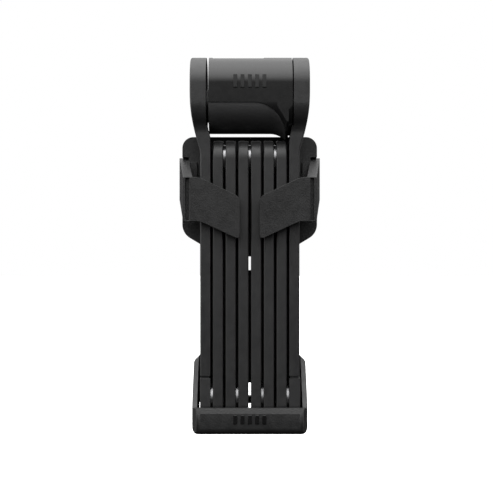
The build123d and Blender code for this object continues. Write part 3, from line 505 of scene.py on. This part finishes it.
CUP_RIB_BOTTOM = -44.9 * MM
CUP_RIB_TOP = -40.5 * MM
CUP_RIB_ROUND = 0.25 * MM
CUP_RIB_EDGE = 0.08 * MM
cup_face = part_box("bracket_frame")[0].y
cup_rib = start_box(
    "cup_rib",
    (-RIB_WIDTH / 2, cup_face - RIB_PROUD, CUP_RIB_BOTTOM),
    (RIB_WIDTH / 2, cup_face + RIB_ROOT, CUP_RIB_TOP),
)
pick(cup_rib, "EDGE", both_ends(lambda p: p.y < cup_face))
round_edges(CUP_RIB_ROUND, 3)
leave_edit_mode()
soften(cup_rib, CUP_RIB_EDGE, 2)
row_of(cup_rib, "cup_ribs", "bracket", "cover_plastic")

# %% One curved rib, and its row on the cover
cover_low, cover_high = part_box("body_cover")
BODY_RADIUS = 14.2 * MM
round_z = cover_high.z - BODY_RADIUS
cover_face = cover_low.y
cover_axis_y = cover_face + BODY_RADIUS
FLAT_PART = 2.6 * MM
ROUND_ANGLE = math.radians(15)
THUMB_RIB_EDGE = 0.22 * MM
thumb_rib = start_box(
    "thumb_rib",
    (-RIB_WIDTH / 2, cover_face - RIB_PROUD, round_z - FLAT_PART),
    (RIB_WIDTH / 2, cover_face + RIB_ROOT, round_z),
)
pick(thumb_rib, "FACE", face_towards((0, 0, 1)))
bpy.ops.mesh.spin(steps=8, angle=ROUND_ANGLE, center=(0, cover_axis_y, round_z), axis=(1, 0, 0))
bpy.ops.mesh.select_all(action="SELECT")
bpy.ops.mesh.remove_doubles(threshold=TINY)
bpy.ops.mesh.normals_make_consistent(inside=False)
leave_edit_mode()
print("thumb rib top", round(max(v.co.z for v in thumb_rib.data.vertices) / MM, 1))
soften(thumb_rib, THUMB_RIB_EDGE)
row_of(thumb_rib, "thumb_ribs", "lock_body", "pad_rubber")

# %% [markdown]
# ## Studio
#
# A black object shows best in a white surround, with soft light from above. The upright fronts of the
# bars mirror the dim room before them and stay dark, while every surface that leans back a little mirrors
# the bright ceiling and turns grey. The world is plain white where the camera sees it. For the
# light it is a soft ceiling, dimmer towards the back, that fades to a dim floor. The floor is shown to
# the camera only, or it would throw all that light back up and wash out the undersides.

# %% World
world = bpy.data.worlds.new("studio")
bpy.context.scene.world = world
world.use_nodes = True
tree = world.node_tree
tree.nodes.clear()
CEILING = (                    # how high a direction points, from -1 to 1, and how bright it is there
    (-1.0, 0.02),
    (-0.30, 0.05),
    (-0.05, 0.09),
    (0.12, 0.16),
    (0.30, 0.82),
    (0.50, 2.60),
    (0.80, 3.80),
    (1.0, 4.0),
)
BRIGHTEST = CEILING[-1][1]
REAR_SHARE = 0.3               # of that brightness behind the lock
FRONT_TO_REAR = (-0.2, 0.9)    # between these depths of a direction it fades
WHITE = (1, 1, 1, 1)
way = tree.nodes.new("ShaderNodeTexCoord")
split = tree.nodes.new("ShaderNodeSeparateXYZ")
height = tree.nodes.new("ShaderNodeMapRange")
height.inputs["From Min"].default_value = -1.0
depth = tree.nodes.new("ShaderNodeMapRange")
depth.inputs["From Min"].default_value, depth.inputs["From Max"].default_value = FRONT_TO_REAR
depth.inputs["To Min"].default_value = BRIGHTEST
depth.inputs["To Max"].default_value = BRIGHTEST * REAR_SHARE
ceiling = tree.nodes.new("ShaderNodeValToRGB")
ramp = ceiling.color_ramp
while len(ramp.elements) < len(CEILING):
    ramp.elements.new(0.5)
for stop, (up, light) in zip(ramp.elements, CEILING):
    stop.position = (up + 1) / 2
    stop.color = (*[light / BRIGHTEST] * 3, 1)
lit = tree.nodes.new("ShaderNodeBackground")
seen = tree.nodes.new("ShaderNodeBackground")
seen.inputs["Color"].default_value = WHITE
ray = tree.nodes.new("ShaderNodeLightPath")
choice = tree.nodes.new("ShaderNodeMixShader")
out = tree.nodes.new("ShaderNodeOutputWorld")
for start, end in (
    (way.outputs["Generated"], split.inputs["Vector"]),
    (split.outputs["Z"], height.inputs["Value"]),
    (split.outputs["Y"], depth.inputs["Value"]),
    (depth.outputs["Result"], lit.inputs["Strength"]),
    (height.outputs["Result"], ceiling.inputs["Fac"]),
    (ceiling.outputs["Color"], lit.inputs["Color"]),
    (ray.outputs["Is Camera Ray"], choice.inputs["Fac"]),
    (lit.outputs["Background"], choice.inputs[1]),
    (seen.outputs["Background"], choice.inputs[2]),
    (choice.outputs["Shader"], out.inputs["Surface"]),
):
    tree.links.new(start, end)
bpy.context.scene.view_settings.view_transform = "Standard"
print("ceiling stops", len(ramp.elements))

# %% [markdown]
# The bracket hangs clear of the floor, as it does on a bicycle. When the lock is drawn out and unfolded,
# its far end reaches below the cup, and the floor lies lower still.

# %% Floor
FLOOR_DROP = 105 * MM
FLOOR_RADIUS = 6               # in metres
PALE = (0.85, 0.85, 0.85, 1)
PAPER_ROUGHNESS = 0.9
bpy.ops.object.select_all(action="DESELECT")
bpy.ops.mesh.primitive_circle_add(
    vertices=96, radius=FLOOR_RADIUS, fill_type="NGON", location=(0, 0, cad_low.z - FLOOR_DROP)
)
floor = bpy.context.object
floor.name = "studio_floor"
floor.visible_diffuse = False
floor.visible_glossy = False
paper = bpy.data.materials.new("floor_paper")
paper.use_nodes = True
paper_shader = paper.node_tree.nodes["Principled BSDF"]
paper_shader.inputs["Base Color"].default_value = PALE
paper_shader.inputs["Roughness"].default_value = PAPER_ROUGHNESS
floor.data.materials.append(paper)
print("floor at", round(floor.location.z / MM, 1), "mm")

# %% [markdown]
# The ceiling alone leaves the sides and the back dull. Three lamps mend that: one at the left, so that the
# lock's two sides differ, and two behind. A point lamp would put a small hard glint on each round edge. A
# tall narrow area lamp draws a soft line down it instead, which shows how round the edge is.

# %% Soft lights at the left and behind
STRIP_HEIGHT = 1.0             # in metres


def soft_light(name, place, width, power):
    """A tall rectangular lamp turned to the middle of the lock."""
    lamp = bpy.data.lights.new(name, "AREA")
    lamp.shape = "RECTANGLE"
    lamp.size = width
    lamp.size_y = STRIP_HEIGHT
    lamp.energy = power
    light = add_object(name, lamp)
    light.location = place
    middle = (cad_low + cad_high) / 2
    light.rotation_euler = (middle - light.location).to_track_quat("-Z", "Y").to_euler()


soft_light("left_strip", (-0.9, -0.35, 0.30), 0.35, 2.7)
soft_light("rear_left_strip", (-0.8, 0.5, 0.3), 0.4, 1.2)
soft_light("rear_right_strip", (0.8, 0.5, 0.3), 0.4, 0.8)
print("lamps", len(bpy.data.lights))

# %% [markdown]
# The camera looks level at the middle of the lock, so that upright edges stay upright. It could stand
# nearer with a wider lens, but then the arms at the sides would show more of their inner faces.

# %% Camera
CAMERA_DISTANCE = 450 * MM     # in front of the bars
CAMERA_SIDE = -1.6 * MM
CAMERA_HEIGHT = 39.8 * MM
LENS = 67.2
SENSOR = 36
camera_data = bpy.data.cameras.new("camera")
camera_data.lens = LENS
camera_data.sensor_width = SENSOR
camera = add_object("camera", camera_data)
camera.location = (CAMERA_SIDE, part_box("link_3_coat")[0].y - CAMERA_DISTANCE, CAMERA_HEIGHT)
camera.rotation_euler = (math.radians(90), 0, 0)
bpy.context.scene.camera = camera
print("camera at", [round(v / MM, 1) for v in camera.location])
